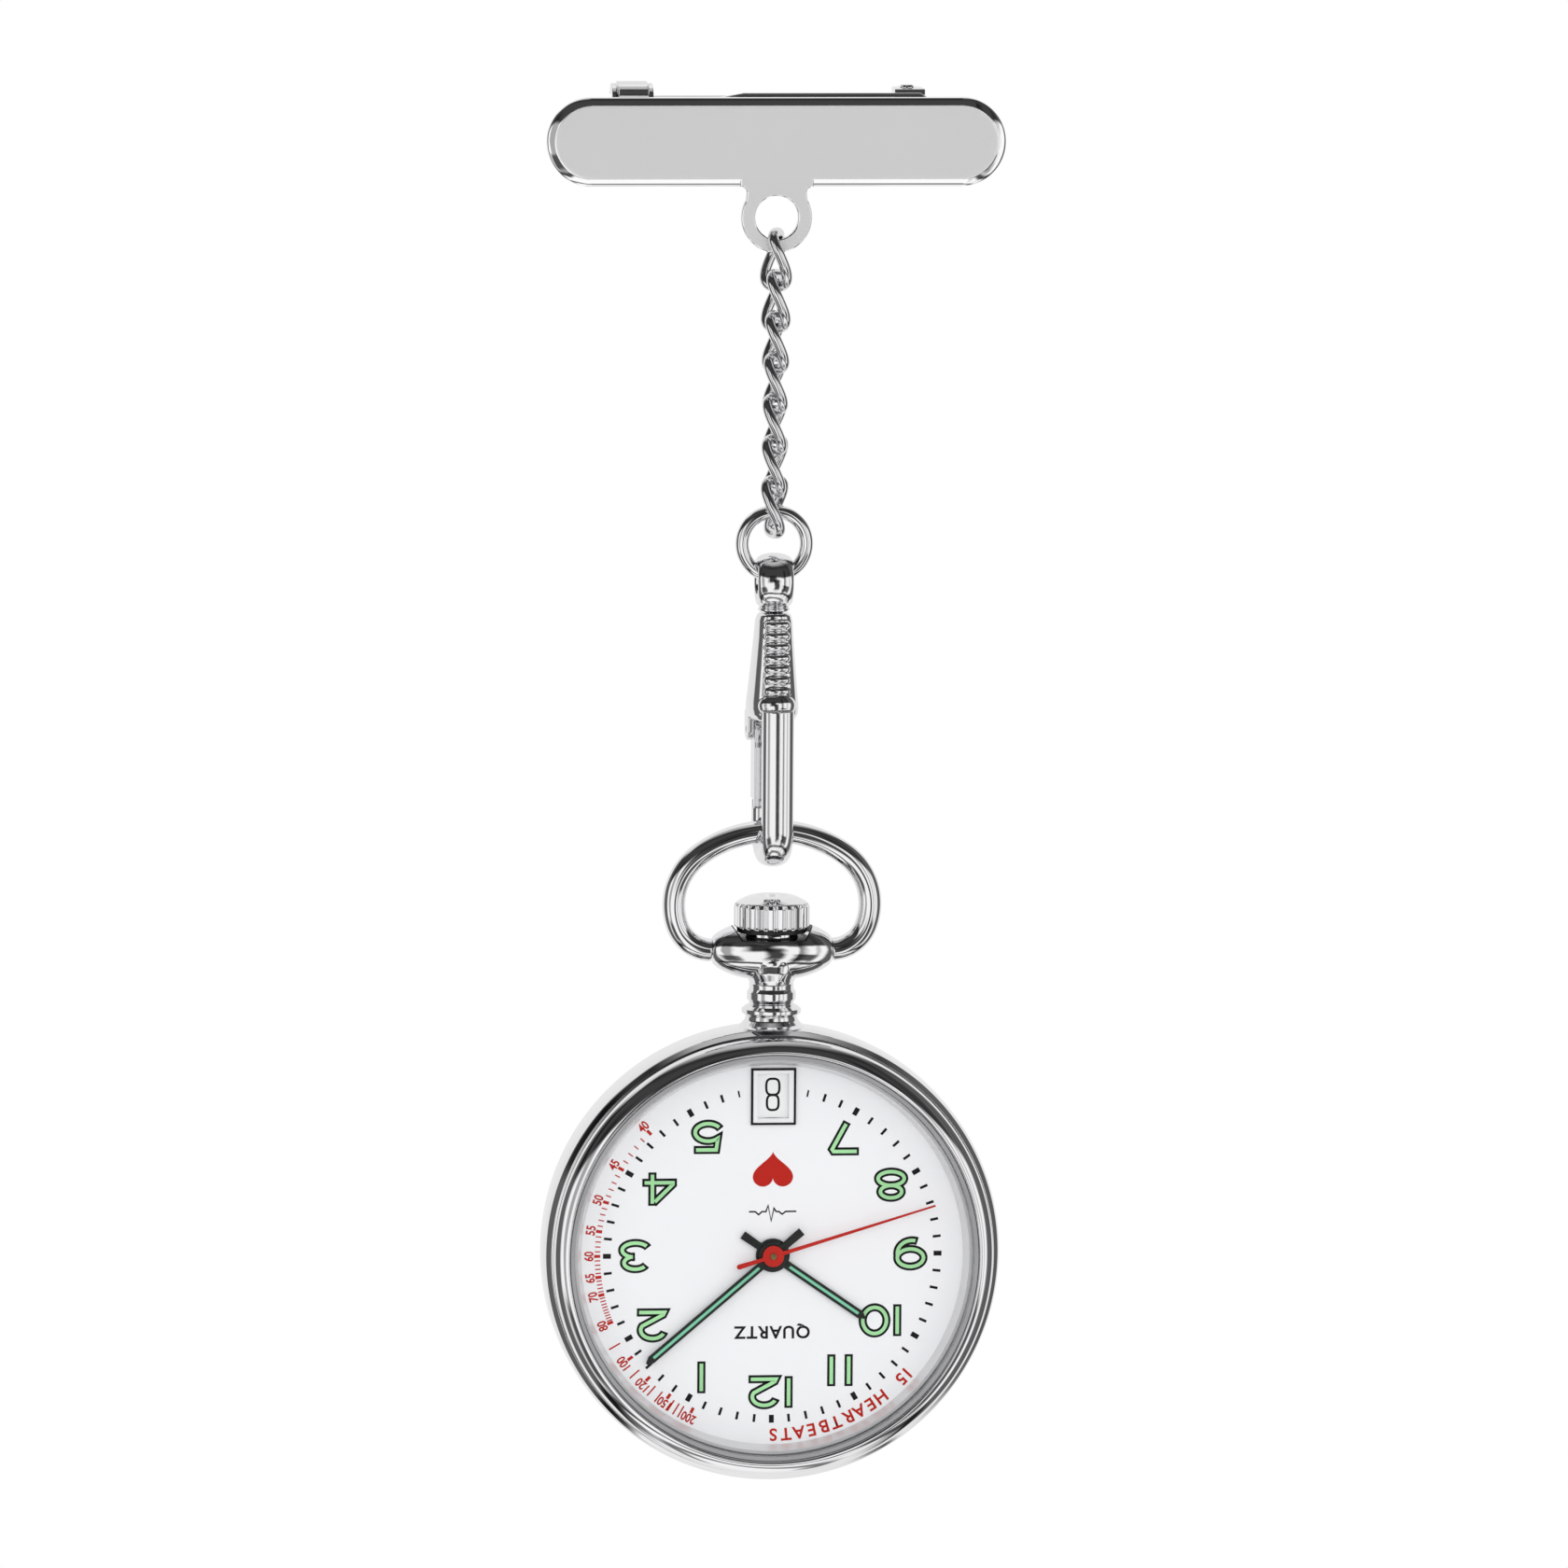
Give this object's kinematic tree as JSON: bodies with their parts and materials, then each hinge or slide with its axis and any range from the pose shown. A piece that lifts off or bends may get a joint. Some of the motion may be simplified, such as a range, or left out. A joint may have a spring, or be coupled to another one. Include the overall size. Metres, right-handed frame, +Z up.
{
  "type": "fob watch",
  "caption": "Nurse's fob watch: brooch bar with safety-catch needle, curb chain, swivel snap hook, bow and crown, round quartz watch hanging with 12 at the bottom.",
  "frame": {"origin": "on the brooch needle's axis, at the middle of its free span", "axes": "+Z up, the watch hangs towards -Z; the dial faces -Y; the needle runs along X with its point towards -X"},
  "size_m": [0.03, 0.0082, 0.0914],
  "materials": {
    "polished_steel": "mirror-polished chrome-plated alloy",
    "satin_steel": "satin brushed steel",
    "spring_steel": "drawn wire",
    "glass": "polished mineral crystal",
    "dial_white": "gloss white lacquer",
    "hand_dark": "satin anthracite lacquer",
    "hand_red": "satin red lacquer",
    "brass": "fine-turned brass",
    "nickel": "nickel-plated brass",
    "nylon": "moulded nylon",
    "black_rubber": "nitrile seal",
    "board_green": "solder-masked board",
    "copper": "enamelled copper winding",
    "magnet": "sintered magnet",
    "date_white": "printed white ring"
  },
  "bodies": {
    "brooch": {"brooch_bar": "satin_steel", "pin_base": "polished_steel", "pin_catch": "polished_steel", "pin_rivet": "polished_steel"},
    "catch_lock": {"catch_rotor": "polished_steel"},
    "needle": {"brooch_pin": "spring_steel"},
    "link_1": {"chain_link_1": "polished_steel"},
    "link_2": {"chain_link_2": "polished_steel"},
    "link_3": {"chain_link_3": "polished_steel"},
    "link_4": {"chain_link_4": "polished_steel"},
    "link_5": {"chain_link_5": "polished_steel"},
    "link_6": {"chain_link_6": "polished_steel"},
    "link_7": {"chain_link_7": "polished_steel"},
    "ring": {"jump_ring": "polished_steel"},
    "eye": {"swivel_eye": "polished_steel"},
    "clasp": {"clasp_body": "polished_steel", "gate_pin": "polished_steel", "gate_spring": "spring_steel"},
    "gate": {"clasp_gate": "polished_steel"},
    "bow": {"bow": "polished_steel", "bow_pins": "polished_steel"},
    "head": {"pendant": "polished_steel", "case_middle": "polished_steel", "bezel": "polished_steel", "crystal": "glass", "crystal_gasket": "black_rubber", "flange_ring": "satin_steel", "dial": "dial_white", "date_window_frame": "satin_steel", "movement_holder": "nylon", "caseback": "satin_steel", "caseback_gasket": "black_rubber", "mainplate": "nickel", "date_jumper": "spring_steel", "stator": "spring_steel", "coil": "copper", "circuit_board": "board_green", "quartz_can": "nickel", "battery": "nickel", "battery_clamp": "spring_steel", "train_bridge": "nickel", "bridge_screws": "spring_steel"},
    "crown_seal": {"crown_gasket": "black_rubber"},
    "crown_knob": {"crown": "polished_steel", "setting_stem": "spring_steel", "sliding_pinion": "spring_steel"},
    "lever": {"setting_lever": "spring_steel"},
    "minutes": {"centre_wheel": "brass", "minute_hand": "hand_dark"},
    "hours": {"hour_wheel": "brass", "hour_hand": "hand_dark"},
    "seconds": {"second_wheel": "brass", "second_hand": "hand_red"},
    "third": {"third_wheel": "brass"},
    "intermediate": {"intermediate_wheel": "nylon"},
    "rotor": {"rotor": "magnet"},
    "minute_works": {"minute_wheel": "brass"},
    "date_drive": {"date_wheel": "nylon"},
    "date": {"date_disc": "date_white"}
  },
  "joints": [
    {"name": "pin_open", "type": "hinge", "parent": "brooch", "child": "needle", "pos_m": [0.00875, 0, 0], "axis": [0, 0, -1], "range_deg": [0, 50]},
    {"name": "catch_turn", "type": "hinge", "parent": "brooch", "child": "catch_lock", "pos_m": [-0.0092, 0, 0], "axis": [1, 0, 0], "range_deg": [0, 100]},
    {"name": "link_1_swing", "type": "hinge", "parent": "brooch", "child": "link_1", "pos_m": [0, -0.0028, -0.00915], "axis": [1, 0, 0], "range_deg": [-22, 22]},
    {"name": "link_2_swing", "type": "hinge", "parent": "link_1", "child": "link_2", "pos_m": [0, -0.0028, -0.0118], "axis": [0.8988, -0.4384, 0], "range_deg": [-20, 20]},
    {"name": "link_3_swing", "type": "hinge", "parent": "link_2", "child": "link_3", "pos_m": [0, -0.0028, -0.01366], "axis": [0.682, 0.7314, 0], "range_deg": [-20, 20]},
    {"name": "link_4_swing", "type": "hinge", "parent": "link_3", "child": "link_4", "pos_m": [0, -0.0028, -0.01716], "axis": [-0.7547, 0.6561, 0], "range_deg": [-20, 20]},
    {"name": "link_5_swing", "type": "hinge", "parent": "link_4", "child": "link_5", "pos_m": [0, -0.0028, -0.01902], "axis": [-0.809, -0.5878, 0], "range_deg": [-20, 20]},
    {"name": "link_6_swing", "type": "hinge", "parent": "link_5", "child": "link_6", "pos_m": [0, -0.0028, -0.02252], "axis": [0.6157, -0.788, 0], "range_deg": [-20, 20]},
    {"name": "link_7_swing", "type": "hinge", "parent": "link_6", "child": "link_7", "pos_m": [0, -0.0028, -0.02438], "axis": [0.8746, 0.4848, 0], "range_deg": [-20, 20]},
    {"name": "ring_swing", "type": "hinge", "parent": "link_7", "child": "ring", "pos_m": [0, -0.0028, -0.02645], "axis": [-1, 0, 0], "range_deg": [-25, 25]},
    {"name": "eye_swing", "type": "hinge", "parent": "ring", "child": "eye", "pos_m": [0, -0.0028, -0.03065], "axis": [1, 0, 0], "range_deg": [-25, 25]},
    {"name": "clasp_swivel", "type": "hinge", "parent": "eye", "child": "clasp", "pos_m": [0, -0.0028, -0.034], "axis": [0, 0, 1], "continuous": true},
    {"name": "gate_open", "type": "hinge", "parent": "clasp", "child": "gate", "pos_m": [-0.00015, -0.00109, -0.04085], "axis": [-0.9962, -0.0872, 0], "range_deg": [0, 16], "stiffness_Nm_per_rad": 0.0008, "springref_deg": -8.59},
    {"name": "bow_hang", "type": "hinge", "parent": "clasp", "child": "bow", "pos_m": [0, -0.0028, -0.04736], "axis": [-1, 0, 0], "range_deg": [-35, 35]},
    {"name": "bow_swing", "type": "hinge", "parent": "bow", "child": "head", "pos_m": [0, -0.0028, -0.05515], "axis": [1, 0, 0], "range_deg": [-75, 75]},
    {"name": "crown_pull", "type": "slide", "parent": "head", "child": "crown_seal", "axis": [0, 0, 1], "range_m": [0, 0.0007]},
    {"name": "crown_turn", "type": "hinge", "parent": "crown_seal", "child": "crown_knob", "pos_m": [0, -0.0028, -0.052], "axis": [0, 0, 1], "continuous": true},
    {"name": "lever_tilt", "type": "hinge", "parent": "head", "child": "lever", "pos_m": [0.0024, -0.0022, -0.06405], "axis": [0, 1, 0], "range_deg": [0, 20.5]},
    {"name": "minute_turn", "type": "hinge", "parent": "head", "child": "minutes", "pos_m": [0, -0.0028, -0.075], "axis": [0, 1, 0], "continuous": true},
    {"name": "hour_turn", "type": "hinge", "parent": "head", "child": "hours", "pos_m": [0, -0.0028, -0.075], "axis": [0, 1, 0], "continuous": true},
    {"name": "second_turn", "type": "hinge", "parent": "head", "child": "seconds", "pos_m": [0, -0.0028, -0.075], "axis": [0, 1, 0], "continuous": true},
    {"name": "third_turn", "type": "hinge", "parent": "head", "child": "third", "pos_m": [0.00205, -0.0028, -0.07705], "axis": [0, 1, 0], "continuous": true},
    {"name": "intermediate_turn", "type": "hinge", "parent": "head", "child": "intermediate", "pos_m": [-0.0024, -0.0028, -0.075], "axis": [0, 1, 0], "continuous": true},
    {"name": "rotor_turn", "type": "hinge", "parent": "head", "child": "rotor", "pos_m": [-0.00434, -0.0028, -0.07612], "axis": [0, 1, 0], "continuous": true},
    {"name": "minute_wheel_turn", "type": "hinge", "parent": "head", "child": "minute_works", "pos_m": [0.0024, -0.0028, -0.075], "axis": [0, 1, 0], "continuous": true},
    {"name": "date_wheel_turn", "type": "hinge", "parent": "head", "child": "date_drive", "pos_m": [-0.00495, -0.0028, -0.075], "axis": [0, 1, 0], "continuous": true},
    {"name": "date_turn", "type": "hinge", "parent": "head", "child": "date", "pos_m": [0, -0.0028, -0.075], "axis": [0, 1, 0], "continuous": true}
  ],
  "couplings": [
    {"joint": "hour_turn", "follows": "minute_turn", "ratio": 0.083333},
    {"joint": "second_turn", "follows": "minute_turn", "ratio": 60},
    {"joint": "third_turn", "follows": "minute_turn", "ratio": -8},
    {"joint": "intermediate_turn", "follows": "minute_turn", "ratio": -300},
    {"joint": "rotor_turn", "follows": "minute_turn", "ratio": 1800},
    {"joint": "minute_wheel_turn", "follows": "minute_turn", "ratio": -0.33333},
    {"joint": "date_wheel_turn", "follows": "minute_turn", "ratio": -0.041667},
    {"joint": "date_turn", "follows": "minute_turn", "ratio": 0.0013441},
    {"joint": "lever_tilt", "follows": "crown_pull", "rad_per_m": 507.43}
  ]
}
